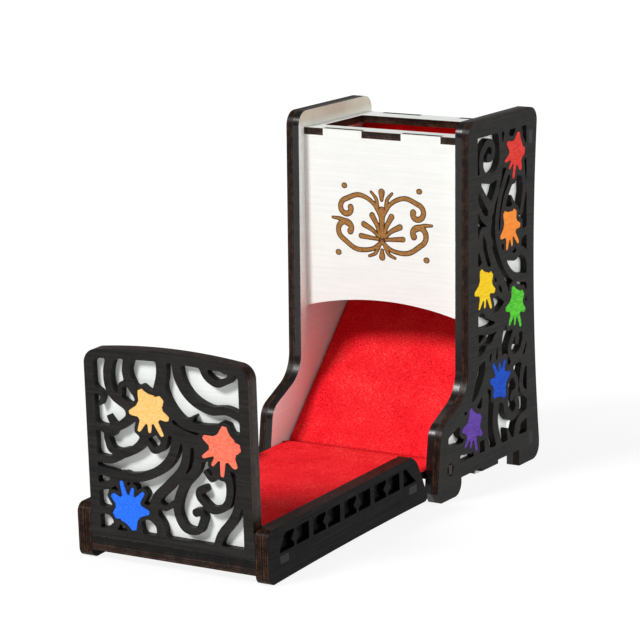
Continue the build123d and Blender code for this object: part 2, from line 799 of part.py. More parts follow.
def end_fretwork():
    """End panel's front layer: an open field crossed by scrolls, closed round the blots"""
    with BuildSketch() as openings:
        offset(end_outline(), amount=-end_panel_border)
        for strokes in end_scrolls:
            add(filled(on_end(scroll(*strokes))), mode=Mode.SUBTRACT)
        for strokes in end_leaves:
            add(filled(on_end(leaf(*strokes))))
        for blot in end_blots.values():
            add(filled(on_end(blot_patch(*blot))), mode=Mode.SUBTRACT)
    with BuildSketch() as fret:
        add(end_outline())
        add(openings.sketch, mode=Mode.SUBTRACT)
        for blot in end_blots.values():
            add(filled(grown(on_end(blot_line(*blot)), fit_gap)), mode=Mode.SUBTRACT)
    return fret.sketch


# End panel: fretwork in front, white board behind
with BuildPart() as end_fret:
    with BuildSketch(tray_face.offset(tray_reach - ply)):
        add(end_fretwork())
    extrude(amount=ply)
end_fret.part.label = "end_fret"
export_step(end_fret.part, "parts/end_fret.step")

with BuildPart() as end_backing:
    with BuildSketch(tray_face.offset(tray_reach - 2 * ply)):
        add(end_outline())
    extrude(amount=ply)
end_backing.part.label = "end_backing"
export_step(end_backing.part, "parts/end_backing.step")

for colour, blot in end_blots.items():
    with BuildPart() as end_blot:
        with BuildSketch(tray_face.offset(tray_reach - ply)):
            add(filled(on_end(blot_line(*blot))))
        extrude(amount=ply)
    end_blot.part.label = f"blot_{colour}_end"
    export_step(end_blot.part, f"parts/blot_{colour}_end.step")

print(f"tray lean {math.degrees(tray_lean):.3f} degrees, tower_y {tower_y:.3f}, pivot_y {pivot_y:.3f}")
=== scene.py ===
import json
import math

import bmesh
import bpy
import numpy as np
from mathutils import Matrix, Vector, noise
from mathutils.geometry import tessellate_polygon


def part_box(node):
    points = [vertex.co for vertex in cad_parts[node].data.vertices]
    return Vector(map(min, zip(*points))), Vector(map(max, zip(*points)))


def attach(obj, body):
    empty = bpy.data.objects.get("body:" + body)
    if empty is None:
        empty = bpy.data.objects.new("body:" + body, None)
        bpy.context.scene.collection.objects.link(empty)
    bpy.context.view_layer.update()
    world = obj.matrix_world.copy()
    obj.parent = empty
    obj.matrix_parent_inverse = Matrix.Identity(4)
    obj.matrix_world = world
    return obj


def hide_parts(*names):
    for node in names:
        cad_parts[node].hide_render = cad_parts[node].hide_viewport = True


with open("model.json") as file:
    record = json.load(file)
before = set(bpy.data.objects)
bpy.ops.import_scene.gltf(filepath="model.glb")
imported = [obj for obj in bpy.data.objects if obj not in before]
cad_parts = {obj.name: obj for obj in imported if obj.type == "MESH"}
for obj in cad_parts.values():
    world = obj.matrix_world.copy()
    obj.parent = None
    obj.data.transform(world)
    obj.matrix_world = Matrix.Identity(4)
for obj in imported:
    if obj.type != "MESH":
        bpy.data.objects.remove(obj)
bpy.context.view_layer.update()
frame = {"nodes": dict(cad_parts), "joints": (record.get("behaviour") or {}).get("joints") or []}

# Looks of a folding dice tower, in metres. X runs across it, +Y points to the back, Z is up.

MM = 0.001
PLY = 3.0 * MM
FELT = 1.5 * MM
WALL_FRONT_TO_PANEL = 4.2 * MM

# The finest length that tells two corners apart
FINE = 1e-6

# Places that the frame gives
wall_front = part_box("front_panel")[0][1] - WALL_FRONT_TO_PANEL
hinge = next(joint for joint in frame["joints"] if joint["name"] == "tray_fold")
pivot = Vector(hinge["pos_m"])

x_axis = Vector((1, 0, 0))
y_axis = Vector((0, 1, 0))
z_axis = Vector((0, 0, 1))


def srgb(red, green, blue):
    """A colour given as 0 to 255 per channel, as the linear values that Blender works in"""
    def linear(value):
        share = value / 255
        return share / 12.92 if share <= 0.04045 else ((share + 0.055) / 1.055) ** 2.4
    return (linear(red), linear(green), linear(blue), 1.0)


SAME_WAY = 0.999


def board_normal(node):
    """The direction square to a board: that of its largest faces together, pointing up, back or to +X"""
    sums = []
    for face in frame["nodes"][node].data.polygons:
        for entry in sums:
            if abs(entry[0].dot(face.normal)) > SAME_WAY:
                entry[1] += face.area
                break
        else:
            sums.append([face.normal.copy(), face.area])
    best = max(sums, key=lambda entry: entry[1])[0]
    return best if max(best, key=abs) > 0 else -best


tray_up = x_axis.cross(board_normal("end_fret")).normalized()
tray_along = tray_up.cross(x_axis)


BLACK = (0, 0, 0, 1)
WHITE = (1, 1, 1, 1)


class Graph:
    """A material's node tree, with one short call for each node"""

    def __init__(self, name):
        self.material = bpy.data.materials.new(name)
        self.material.use_nodes = True
        self.tree = self.material.node_tree
        self.tree.nodes.clear()

    def node(self, kind, output=0, settings=None, **inputs):
        made = self.tree.nodes.new("ShaderNode" + kind)
        for key, value in (settings or {}).items():
            setattr(made, key, value)
        for key, value in inputs.items():
            place = int(key[2:]) if key.startswith("in") and key[2:].isdigit() else key.replace("_", " ")
            self.put(made.inputs[place], value)
        return made.outputs[output]

    def put(self, socket, value):
        if isinstance(value, bpy.types.NodeSocket):
            self.tree.links.new(value, socket)
        else:
            socket.default_value = value

    def math(self, operation, first, second=0.0, third=0.0):
        return self.node("Math", settings={"operation": operation}, in0=first, in1=second, in2=third)

    def along(self, vector, direction):
        """How far a vector reaches in a direction"""
        settings = {"operation": "DOT_PRODUCT"}
        return self.node("VectorMath", "Value", settings, in0=vector, in1=tuple(direction))

    def moved(self, vector, offset):
        return self.node("VectorMath", 0, {"operation": "ADD"}, in0=vector, in1=offset)

    def within(self, value, low, high):
        """1 where a value lies between two others, and 0 elsewhere"""
        above = self.math("GREATER_THAN", value, low)
        return self.math("MULTIPLY", above, self.math("LESS_THAN", value, high))

    def stretched(self, vector, scale):
        return self.node("Mapping", 0, {"vector_type": "POINT"}, Vector=vector, Scale=scale)

    def noise(self, vector, scale, detail=3.0, roughness=0.55):
        return self.node(
            "TexNoise", "Fac", None, Vector=vector, Scale=scale, Detail=detail, Roughness=roughness,
        )

    def ramp(self, share, stops):
        """The colour that a row of stops gives to a share"""
        made = self.tree.nodes.new("ShaderNodeValToRGB")
        elements = made.color_ramp.elements
        while len(elements) < len(stops):
            elements.new(1.0)
        for element, (place, colour) in zip(elements, stops):
            element.position = place
            element.color = colour
        self.put(made.inputs[0], share)
        return made.outputs["Color"]

    def grey(self, share, dark_until, light_from):
        """Black, then white, with a blend between two shares"""
        return self.ramp(share, ((dark_until, BLACK), (light_from, WHITE)))

    def clamp(self, value):
        return self.node("Clamp", 0, None, Value=value)

    def mix(self, share, first, second, blend="MIX"):
        made = self.tree.nodes.new("ShaderNodeMix")
        made.data_type = "RGBA"
        made.blend_type = blend
        self.put(made.inputs[0], share)
        self.put(made.inputs[6], first)
        self.put(made.inputs[7], second)
        return made.outputs[2]

    def bump(self, height, distance, strength=1.0):
        return self.node("Bump", "Normal", None, Height=height, Distance=distance, Strength=strength)

    def finish(self, **inputs):
        """The material, with one principled shader as its surface"""
        shader = self.node("BsdfPrincipled", 0, None, **inputs)
        output = self.tree.nodes.new("ShaderNodeOutputMaterial")
        self.tree.links.new(shader, output.inputs["Surface"])
        return self.material


# Plywood: a painted face, and an edge that shows the layers burnt by the laser. An edge is given as
# stops from the inner face to the outer one.

BLACK_FACE = dict(
    dark=srgb(20, 19, 19), light=srgb(44, 42, 40), rough=0.6, grain=0.12 * MM, specular=0.14,
)
RAIL_FACE = dict(BLACK_FACE, dark=srgb(7, 7, 7), light=srgb(32, 30, 30), specular=0.06)
WHITE_FACE = dict(
    dark=srgb(239, 242, 237), light=srgb(248, 251, 247), rough=0.65, grain=0.06 * MM, specular=0.2,
)
INNER_FACE = dict(WHITE_FACE, specular=0.5)
BARE_FACE = dict(
    dark=srgb(196, 160, 112), light=srgb(226, 194, 148), rough=0.6, grain=0.1 * MM, specular=0.3,
)

# Nearly black: laser soot, and painted shade where it is used inside openings and windows
SOOT_AND_SHADE = srgb(17, 14, 14)
BROWN_EDGE = (
    (0.00, srgb(22, 19, 19)),
    (0.07, srgb(44, 31, 25)),
    (0.20, srgb(84, 57, 42)),
    (0.33, srgb(48, 33, 26)),
    (0.37, srgb(24, 18, 16)),
    (0.50, srgb(66, 46, 36)),
    (0.62, srgb(38, 28, 23)),
    (0.66, srgb(22, 17, 15)),
    (0.80, srgb(78, 54, 40)),
    (0.93, srgb(36, 26, 22)),
    (1.00, srgb(22, 19, 19)),
)
SOOT_EDGE = (
    (0.00, srgb(16, 14, 15)),
    (0.30, srgb(34, 28, 27)),
    (0.36, srgb(12, 10, 11)),
    (0.62, srgb(28, 23, 22)),
    (0.68, srgb(11, 10, 10)),
    (0.93, srgb(30, 25, 23)),
    (1.00, srgb(60, 54, 50)),
)
BURNT_EDGE = (
    (0.00, srgb(120, 92, 64)),
    (0.10, srgb(50, 35, 25)),
    (0.34, srgb(84, 58, 38)),
    (0.38, srgb(30, 21, 17)),
    (0.62, srgb(68, 47, 32)),
    (0.67, srgb(28, 20, 16)),
    (0.90, srgb(46, 32, 24)),
    (1.00, srgb(120, 92, 64)),
)
CHARRED_EDGE = (
    (0.00, srgb(112, 84, 60)),
    (0.08, srgb(50, 36, 28)),
    (0.34, srgb(86, 62, 46)),
    (0.38, srgb(34, 25, 21)),
    (0.62, srgb(74, 53, 40)),
    (0.67, srgb(34, 25, 21)),
    (0.92, srgb(58, 42, 33)),
    (1.00, srgb(112, 84, 60)),
)


# How fine each pattern is along the grain, across it and through the board, in cells to the metre
STREAKS = (26, 900, 0.2)
MOTTLE = (900, 1700, 0.3)
CLOUDS = (90, 160, 0.1)
MOTTLE_SHARE = 0.35
CLOUD_DEPTH = 0.9

# Cells to the metre of the patterns on an edge, and where each is taken from
WANDER_SCALE = 260
WANDER = 0.16
SOOT_SCALE = 900
SOOT_PLACE = (0.3, 0.1, 0.7)
SOOT_TONES = ((0.32, (0.28, 0.25, 0.24, 1)), (0.62, WHITE))
SOOT_SHARE = 0.8
PATCH_SCALE = 330
PATCH_PLACE = (0.9, 0.2, 0.4)
PATCH_TONES = ((0.42, (0.30, 0.28, 0.28, 1)), (0.60, (1.15, 1.12, 1.1, 1)))
PATCH_SHARE = 0.85

EDGE_GLOSS = 0.35
INNER_GLOSS = 0.22
FACE_FROM = 0.7
RIDGES = 0.6
# Painted shade: the inner walls turn darker and browner from just below the throat's top upwards
SHADE_TONE = srgb(206, 190, 168)
SHADE_BELOW = 2.0 * MM
SHADE_ABOVE = 3.0 * MM
SHADE_CLOUD_SCALE = 90


def face_look(graph, place, depth, normal, grain_along, face):
    """A face's colour, from long grain streaks, a fine mottle and soft clouds, and its ridges"""
    across = normal.cross(grain_along).normalized()
    spot = graph.node(
        "CombineXYZ", 0, None, X=graph.along(place, grain_along), Y=graph.along(place, across), Z=depth,
    )
    streaks = graph.grey(graph.noise(graph.stretched(spot, STREAKS), 1.0, 4.0, 0.6), 0.34, 0.66)
    mottle = graph.grey(graph.noise(graph.stretched(spot, MOTTLE), 1.0, 2.0, 0.5), 0.3, 0.7)
    grain = graph.mix(MOTTLE_SHARE, streaks, mottle)
    clouds = graph.math("SUBTRACT", graph.noise(graph.stretched(spot, CLOUDS), 1.0, 3.0, 0.6), 0.5)
    tone = graph.math("MULTIPLY_ADD", clouds, CLOUD_DEPTH, graph.node("RGBToBW", 0, None, Color=grain))
    return graph.mix(graph.clamp(tone), face["dark"], face["light"]), grain


def painted_top_shade(graph, place, colour, top_shade):
    """Painted shade: darkens and browns a colour from one place to another along a direction, in faint
    clouds
    """
    direction, start, full = top_shade
    level = graph.math("SUBTRACT", graph.along(place, direction), start)
    haze = graph.clamp(graph.math("DIVIDE", level, full - start))
    wash = graph.math("MULTIPLY_ADD", graph.noise(place, SHADE_CLOUD_SCALE, 2.0, 0.5), 0.6, 0.5)
    return graph.mix(graph.math("MULTIPLY", haze, wash), colour, SHADE_TONE, "MULTIPLY")


def edge_look(graph, place, depth, edge):
    """An edge's colour, from wavy layers under soot and scorched patches, and its ridges"""
    wander = graph.math("SUBTRACT", graph.noise(place, WANDER_SCALE, 2.0, 0.5), 0.5)
    layers = graph.ramp(graph.math("MULTIPLY_ADD", wander, WANDER, depth), edge)
    soot = graph.noise(graph.moved(place, SOOT_PLACE), SOOT_SCALE, 4.0, 0.7)
    colour = graph.mix(SOOT_SHARE, layers, graph.ramp(soot, SOOT_TONES), "MULTIPLY")
    patches = graph.noise(graph.moved(place, PATCH_PLACE), PATCH_SCALE, 3.0, 0.7)
    colour = graph.mix(PATCH_SHARE, colour, graph.ramp(patches, PATCH_TONES), "MULTIPLY")
    return colour, graph.mix(0.5, soot, layers)


def plywood(
    name, node, face, edge, grain_along, outward=1, gloss=EDGE_GLOSS, windows=None, tabs=None, top_shade=None,
):
    """Material of one board. grain_along is the direction of its face grain, and outward is -1 where its
    outer face looks against its normal. Edges inside the windows are black, with soot and painted shade,
    and edges on tabs that reach further out than the given distance are black with soot."""
    graph = Graph(name)
    normal = board_normal(node)
    start = min(vertex.co.dot(normal) for vertex in frame["nodes"][node].data.vertices)
    place = graph.node("TexCoord", "Object")
    facing = graph.along(graph.node("TexCoord", "Normal"), normal)
    is_face = graph.math("GREATER_THAN", graph.math("ABSOLUTE", facing), FACE_FROM)
    depth = graph.math("MULTIPLY_ADD", graph.along(place, normal), 1 / PLY, -start / PLY)
    if outward < 0:
        depth = graph.math("SUBTRACT", 1.0, depth)

    face_colour, grain = face_look(graph, place, depth, normal, grain_along, face)
    if top_shade:
        face_colour = painted_top_shade(graph, place, face_colour, top_shade)
    edge_colour, layers = edge_look(graph, place, depth, edge)
    if windows:
        # Edges inside the windows: painted shade, nearly black, on top of the laser's soot
        (first, *first_span), (second, *second_span) = windows
        inside_first = graph.within(graph.along(place, first), *first_span)
        inside_second = graph.within(graph.along(place, second), *second_span)
        edge_colour = graph.mix(graph.math("MULTIPLY", inside_first, inside_second), edge_colour, SOOT_AND_SHADE)
    if tabs:
        beyond = graph.math("GREATER_THAN", graph.math("ABSOLUTE", graph.along(place, x_axis)), tabs)
        edge_colour = graph.mix(beyond, edge_colour, SOOT_AND_SHADE)
    return graph.finish(
        Base_Color=graph.mix(is_face, edge_colour, face_colour),
        Roughness=graph.math("MULTIPLY_ADD", is_face, face["rough"] - gloss, gloss),
        Specular_IOR_Level=face["specular"],
        Normal=graph.bump(graph.mix(is_face, layers, grain), face["grain"], RIDGES),
    )


def in_scene(name, data):
    """A new object of the scene"""
    made = bpy.data.objects.new(name, data)
    bpy.context.scene.collection.objects.link(made)
    return made


def dress(node, material):
    """Puts a material on a CAD node in place of its own"""
    mesh = frame["nodes"][node].data
    mesh.materials.clear()
    mesh.materials.append(material)


PAINT_STREAKS = (900, 260, 1500)
CHAR_SCALE = 1400


def paint(name, colour, deep):
    """Brushed paint of an inlay: its colour, and a deeper tone in the wood's pores"""
    graph = Graph(name)
    place = graph.node("TexCoord", "Object")
    streaks = graph.noise(graph.stretched(place, PAINT_STREAKS), 1.0, 3.0, 0.6)
    return graph.finish(
        Base_Color=graph.mix(graph.grey(streaks, 0.35, 0.6), deep, colour),
        Roughness=0.6,
        Specular_IOR_Level=0.15,
        Normal=graph.bump(streaks, 0.05 * MM, 0.5),
    )


def soot_and_shade_material():
    """Sides of a fretwork opening, charred by the laser, and painted nearly black for the shade inside the
    opening
    """
    graph = Graph("soot")
    char = graph.noise(graph.node("TexCoord", "Object"), CHAR_SCALE, 4.0, 0.7)
    return graph.finish(
        Base_Color=graph.ramp(char, ((0.35, srgb(12, 10, 10)), (0.70, srgb(34, 28, 25)))),
        Roughness=0.55,
        Specular_IOR_Level=0.25,
        Normal=graph.bump(char, 0.1 * MM, 0.6),
    )


def rail_windows(node):
    """Where a rail's windows lie along the tray and above it"""
    place = drawing(node, x_axis, tray_along, tray_up, Vector())
    holes = np.concatenate(face_loops(node, place)[1:]) * MM
    low = holes.min(axis=0)
    high = holes.max(axis=0)
    return ((tray_along, low[0], high[0]), (tray_up, low[1], high[1]))


def dress_boards():
    """Plywood on every board that the frame carries over"""
    # Painted shade on the inner walls, darker and browner above the throat's top
    throat_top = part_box("top_frame")[1][2]
    top_shade = (z_axis, throat_top - SHADE_BELOW, throat_top + SHADE_ABOVE)
    for side, outward in (("right", 1), ("left", -1)):
        for layer in ("outer", "inner"):
            node = f"rail_{layer}_{side}"
            windows = rail_windows(node)
            material = plywood(
                f"{node}_ply", node, RAIL_FACE, BROWN_EDGE, tray_along, outward, windows=windows,
            )
            dress(node, material)
        node = f"wall_inner_{side}"
        material = plywood(
            f"{node}_ply", node, INNER_FACE, SOOT_EDGE, y_axis, outward, INNER_GLOSS, top_shade=top_shade,
        )
        dress(node, material)
    outer_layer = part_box("wall_outer_right")[0][0]
    for node, face, edge, tabs in (
        ("front_panel", WHITE_FACE, BURNT_EDGE, None),
        ("back_panel", WHITE_FACE, BURNT_EDGE, outer_layer),
        ("top_frame", WHITE_FACE, CHARRED_EDGE, None),
        ("rear_rail", BLACK_FACE, BROWN_EDGE, outer_layer),
        ("end_backing", WHITE_FACE, BROWN_EDGE, None),
        ("tray_floor", BLACK_FACE, SOOT_EDGE, None),
        ("tray_base", BLACK_FACE, BROWN_EDGE, None),
        ("hinge_bar", BLACK_FACE, BROWN_EDGE, None),
        ("exit_ramp", BARE_FACE, BURNT_EDGE, None),
        ("middle_ramp", BARE_FACE, BURNT_EDGE, None),
        ("upper_ramp", BARE_FACE, BURNT_EDGE, None),
    ):
        dress(node, plywood(f"{node}_ply", node, face, edge, x_axis, tabs=tabs))


INLAY_COLOURS = {
    "red": (srgb(238, 66, 54), srgb(214, 44, 34)),
    "orange": (srgb(255, 158, 62), srgb(255, 132, 36)),
    "yellow": (srgb(255, 222, 26), srgb(255, 196, 8)),
    "green": (srgb(98, 216, 58), srgb(66, 184, 38)),
    "blue": (srgb(10, 84, 206), srgb(6, 62, 176)),
    "purple": (srgb(104, 68, 172), srgb(84, 50, 142)),
}
END_COLOURS = {
    "orange": (srgb(255, 206, 132), srgb(255, 190, 96)),
    "red": (srgb(255, 130, 102), srgb(255, 104, 80)),
    "blue": (srgb(44, 122, 255), srgb(28, 98, 240)),
}


def dress_inlays():
    """Paint on every inlay"""
    for name, (colour, deep) in INLAY_COLOURS.items():
        material = paint(f"paint_{name}", colour, deep)
        for side in ("left", "right"):
            dress(f"blot_{name}_{side}", material)
    for name, (colour, deep) in END_COLOURS.items():
        dress(f"blot_{name}_end", paint(f"paint_{name}_end", colour, deep))


# Flat drawings. A place gives a board's face: its origin and its directions, with lengths in millimetres.

def drawing(node, out, across, up, origin):
    """The place of a CAD board's face that looks in the direction out"""
    level = max(vertex.co.dot(out) for vertex in frame["nodes"][node].data.vertices)
    return {"out": out, "across": across, "up": up, "origin": origin, "level": level}


def on_face(place, spot, depth):
    """A spot of the drawing as a point in space, so deep below the face"""
    point = place["origin"] + (place["across"] * spot[0] + place["up"] * spot[1]) * MM
    return point + place["out"] * (place["level"] - depth - point.dot(place["out"]))


def loop_area(loop):
    """Area inside a closed line, with a minus sign where it runs clockwise"""
    x, y = loop[:, 0], loop[:, 1]
    return 0.5 * float(np.sum(x * np.roll(y, -1) - y * np.roll(x, -1)))


def face_loops(node, place):
    """Outlines of a CAD board's face as the drawing has them, the outer one first"""
    mesh = frame["nodes"][node].data
    keys = [tuple(round(length / FINE) for length in vertex.co) for vertex in mesh.vertices]
    points = {key: Vector(key) * FINE - place["origin"] for key in keys}
    on_level = [place["level"] - vertex.co.dot(place["out"]) < 3 * FINE for vertex in mesh.vertices]
    sides = set()
    for polygon in mesh.polygons:
        if all(on_level[index] for index in polygon.vertices):
            ring = [keys[index] for index in polygon.vertices]
            sides.update(zip(ring, ring[1:] + ring[:1]))
    onward = {first: last for first, last in sides if (last, first) not in sides}
    loops = []
    while onward:
        key = min(onward)
        loop = []
        while key in onward:
            loop.append((points[key].dot(place["across"]) / MM, points[key].dot(place["up"]) / MM))
            key = onward.pop(key)
        loops.append(np.array(loop))
    return sorted(loops, key=lambda loop: -abs(loop_area(loop)))


# Strokes of an ornament: a smooth line through points, from one width to another, and at its end a
# curl, given by its radius, its turn in degrees and the share of the radius left. The last number is
# the width of a ball at its tip. All lengths are millimetres of the drawing.

POINTS_PER_STEP = 6
CURL_STEP = 15
REACH = 4.0
BEFORE_BALL = 0.8
FAR = 50.0
TINY = 1e-9


def smooth_line(points):
    """A smooth line through points"""
    spots = [np.array(point, float) for point in points]
    spots = [2 * spots[0] - spots[1]] + spots + [2 * spots[-1] - spots[-2]]
    line = []
    for before, first, last, after in zip(spots, spots[1:], spots[2:], spots[3:]):
        for t in np.arange(POINTS_PER_STEP) / POINTS_PER_STEP:
            bend = (2 * before - 5 * first + 4 * last - after) * t * t
            twist = (3 * first - before - 3 * last + after) * t ** 3
            line.append(0.5 * (2 * first + (last - before) * t + bend + twist))
    return line + [spots[-2]]


def curl(start, heading, radius, turn, shrink):
    """A line that turns by so many degrees while its radius falls to the share given as shrink"""
    steps = max(3, round(abs(turn) / CURL_STEP))
    swing = math.radians(turn) / steps
    spot = np.array(start)
    line = []
    for step in range(steps):
        length = radius * (1 - (1 - shrink) * step / steps) * abs(swing)
        spot = spot + length * np.array((math.cos(heading + swing / 2), math.sin(heading + swing / 2)))
        heading += swing
        line.append(spot)
    return line


def stroke(points, root, tip, turning=None, ball=0.0):
    """A stroke's middle line and its half width at each point"""
    line = smooth_line(points)
    if turning:
        last = line[-1] - line[-2]
        line += curl(line[-1], math.atan2(last[1], last[0]), *turning)
    line = np.array(line)
    walked = np.concatenate(([0], np.cumsum(np.linalg.norm(np.diff(line, axis=0), axis=1))))
    widths = root + (tip - root) * walked / walked[-1]
    if ball:
        widths[-1] = ball
        widths[-2] = max(widths[-2], BEFORE_BALL * ball)
    return line, widths / 2


def stroke_distance(line, halves, columns, rows):
    """How far each grid point lies outside a stroke, near the stroke"""
    far = np.full((len(rows), len(columns)), FAR)
    for first, last, thick, thin in zip(line, line[1:], halves, halves[1:]):
        low = np.minimum(first, last) - REACH
        high = np.maximum(first, last) + REACH
        some_columns = slice(*np.searchsorted(columns, (low[0], high[0])))
        some_rows = slice(*np.searchsorted(rows, (low[1], high[1])))
        x = columns[some_columns][None, :] - first[0]
        y = rows[some_rows][:, None] - first[1]
        step = last - first
        share = np.clip((x * step[0] + y * step[1]) / max(step @ step, TINY), 0, 1)
        gap = np.hypot(x - share * step[0], y - share * step[1]) - thick - (thin - thick) * share
        far[some_rows, some_columns] = np.minimum(far[some_rows, some_columns], gap)
    return far


def outline_distance(outline, columns, rows):
    """Distance of each grid point from a closed outline, negative inside"""
    x, y = np.meshgrid(columns, rows)
    far = np.full(x.shape, np.inf)
    inside = np.zeros(x.shape, bool)
    for first, last in zip(outline, np.roll(outline, -1, axis=0)):
        step = last - first
        right = x - first[0]
        above = y - first[1]
        share = np.clip((right * step[0] + above * step[1]) / max(step @ step, TINY), 0, 1)
        far = np.minimum(far, np.hypot(right - share * step[0], above - share * step[1]))
        if step[1] != 0:
            crosses = (first[1] > y) != (last[1] > y)
            inside ^= crosses & (right < step[0] * above / step[1])
    return np.where(inside, -far, far)


def is_inside(spot, outline):
    """Whether a spot lies inside a closed outline"""
    return outline_distance(outline, spot[:1], spot[1:])[0, 0] < 0


def join_softly(first, second, fillet):
    """Distance from two shapes together, with a fillet where they meet"""
    share = np.clip(0.5 + 0.5 * (second - first) / fillet, 0, 1)
    return second * (1 - share) + first * share - fillet * share * (1 - share)


def contours(height, columns, rows):
    """Closed lines round each place where a field of heights is over zero, found cell by cell"""
    over = height > 0
    cells = over[:-1, :-1].astype(int) + over[:-1, 1:] + over[1:, 1:] + over[1:, :-1]
    onward = {}
    for row, column in np.argwhere((cells > 0) & (cells < 4)).tolist():
        corners = ((row, column), (row, column + 1), (row + 1, column + 1), (row + 1, column))
        crossings = [
            (min(first, last), max(first, last), bool(over[first]))
            for first, last in zip(corners, corners[1:] + corners[:1])
            if over[first] != over[last]
        ]
        for order, (first, last, leaving) in enumerate(crossings):
            if leaving:
                onward[(first, last)] = crossings[order - 1][:2]
    loops = []
    while onward:
        key = next(iter(onward))
        loop = []
        while key in onward:
            first, last = key
            share = height[first] / (height[first] - height[last])
            start = np.array((columns[first[1]], rows[first[0]]))
            loop.append(start + share * (np.array((columns[last[1]], rows[last[0]])) - start))
            key = onward.pop(key)
        loops.append(np.array(loop))
    return loops


def thinned(loop, slack):
    """A closed line with only the points that its shape needs, within slack"""
    far = int(np.argmax(np.linalg.norm(loop - loop[0], axis=1)))
    closed = np.concatenate((loop, loop[:1]))
    kept = {0, far, len(loop)}
    spans = [(0, far), (far, len(loop))]
    while spans:
        start, stop = spans.pop()
        if stop - start < 2:
            continue
        chord = closed[stop] - closed[start]
        offsets = closed[start + 1:stop] - closed[start]
        sizes = np.abs(chord[0] * offsets[:, 1] - chord[1] * offsets[:, 0])
        gaps = sizes / max(np.hypot(*chord), TINY)
        worst = int(np.argmax(gaps))
        if gaps[worst] > slack:
            split = start + 1 + worst
            kept.add(split)
            spans += [(start, split), (split, stop)]
    return loop[sorted(kept - {len(loop)})]


SHARP = math.radians(30)


def plate(name, place, shapes, depths, materials):
    """Flat boards between two depths below a face, each an outline and its holes. The first material is
    for faces and outer sides, and the last for the sides of holes."""
    vertices = []
    faces = []
    slots = []
    for loops in shapes:
        spots = np.concatenate(loops)
        count = len(spots)
        start = len(vertices)
        vertices += [on_face(place, spot, depth) for depth in depths for spot in spots]
        triangles = tessellate_polygon([[Vector((*spot, 0)) for spot in loop] for loop in loops])
        faces += [tuple(start + index for index in triangle) for triangle in triangles]
        faces += [tuple(start + count + index for index in reversed(triangle)) for triangle in triangles]
        slots += [0] * (2 * len(triangles))
        for loop in loops:
            ring = list(range(start, start + len(loop)))
            sides = zip(ring, ring[1:] + ring[:1])
            faces += [(first, last, last + count, first + count) for first, last in sides]
            slots += [0 if loop is loops[0] else len(materials) - 1] * len(loop)
            start += len(loop)
    mesh = bpy.data.meshes.new(name)
    mesh.from_pydata(vertices, [], faces)
    for material in materials:
        mesh.materials.append(material)
    mesh.polygons.foreach_set("material_index", slots)
    built = bmesh.new()
    built.from_mesh(mesh)
    bmesh.ops.recalc_face_normals(built, faces=built.faces)
    built.to_mesh(mesh)
    built.free()
    mesh.shade_smooth()
    mesh.set_sharp_from_angle(angle=SHARP)
    return in_scene(name, mesh)


# Scrollwork of the side walls: depth behind the wall's front edge, height above the floor

WALL_FIELD = ((8, 145), (8, 49), (1, 35), (-18, 29.5), (-18, 13.5), (51, 13.5), (51, 145))
WALL_STROKES = (
    # top left scroll
    (
        ((34, 147), (31, 136), (25, 128.5), (17, 127), (11.6, 131), (11.4, 137.5), (15, 141)),
        4.6, 3.0, (4.4, -250, 0.5), 4.0,
    ),
    (((10, 128), (7, 122)), 4.0, 3.0),
    # main stem and its two companions
    (
        ((27, 147), (28.5, 134), (25, 122), (18.5, 112), (17.5, 100), (22.5, 90), (30, 81), (34, 73)),
        3.0, 4.6,
    ),
    (((33, 127), (26.5, 116), (24.5, 104), (29, 93), (38, 83.5), (52, 80)), 3.0, 3.8),
    (((38, 124), (31.5, 116), (29, 106)), 2.8, 3.6),
    # leaves at the left border
    (((20, 114), (14, 119.5), (7, 128)), 4.4, 2.2),
    (((18, 109), (12, 112), (7, 119)), 3.8, 1.8),
    (((19, 100), (13.5, 106), (10.5, 104), (11, 98), (15, 90)), 3.8, 3.2),
    (((7, 100), (11, 98)), 2.6, 1.0),
    # between the red and the orange blots
    (((47, 129), (49, 119), (46, 109)), 3.4, 2.8),
    (((40, 112), (37, 117)), 2.8, 1.0),
    (((52, 101), (46, 99), (43, 95)), 3.2, 3.4),
    (((32, 93), (40, 91), (46, 93), (52, 89)), 3.4, 3.2),
    (((44, 147), (43, 141)), 3.0, 3.0),
    # leaves that fan out to the lower left of the stem
    (((26, 86), (25, 79), (31, 75)), 2.6, 2.4),
    (((34, 72), (24, 68.5), (15, 71)), 5.0, 2.6),
    (((33, 70), (22, 64), (7, 65)), 5.0, 2.4),
    (((33, 69), (24, 59), (14, 54), (7, 52)), 5.0, 3.4),
    (((14, 61), (7, 58.5)), 2.6, 1.0),
    # scroll above the blue blot
    (((33, 69), (27.5, 60), (27, 50), (31, 44)), 4.0, 3.4),
    (((48, 64), (49, 55), (45, 49), (38.5, 48), (35.5, 52.5), (38, 57)), 4.2, 3.0, (2.8, -190, 0.6), 3.6),
    (((35, 44), (43, 47), (52, 44)), 3.6, 3.4),
    # strands to the knee
    (((16, 56), (15, 46), (9, 38), (2, 33)), 3.8, 3.4),
    (((23, 59), (20, 48), (13.5, 38), (12, 28)), 4.0, 3.6),
    # right edge below the green blot
    (((52, 49), (47, 41), (46, 34), (49.5, 30.5)), 4.0, 2.6, (2.6, 160, 0.6), 3.4),
    (((38, 42), (42, 37), (41, 30)), 3.0, 2.6),
    # bottom scrolls
    (((15, 36), (14, 24), (15.5, 13)), 3.6, 4.0),
    (((25, 36), (22.5, 24), (26, 13)), 5.0, 4.4),
    (((32, 35), (32.5, 27), (38, 23), (42.5, 26), (41.5, 31)), 4.4, 3.0, (2.6, 150, 0.6), 3.6),
    (((41, 12), (43.5, 19), (52, 22)), 5.0, 3.4),
    (((36, 12), (33.5, 18)), 4.0, 1.6),
    # toe
    (((-4, 30), (-10, 31), (-19, 28)), 5.0, 5.0),
    (((0, 18.5), (-10, 19), (-19, 20)), 5.0, 5.0),
    (((-10, 15), (-19, 15)), 4.0, 5.0),
)

# Scrollwork of the end panel: to the right of its middle, height above the hinge

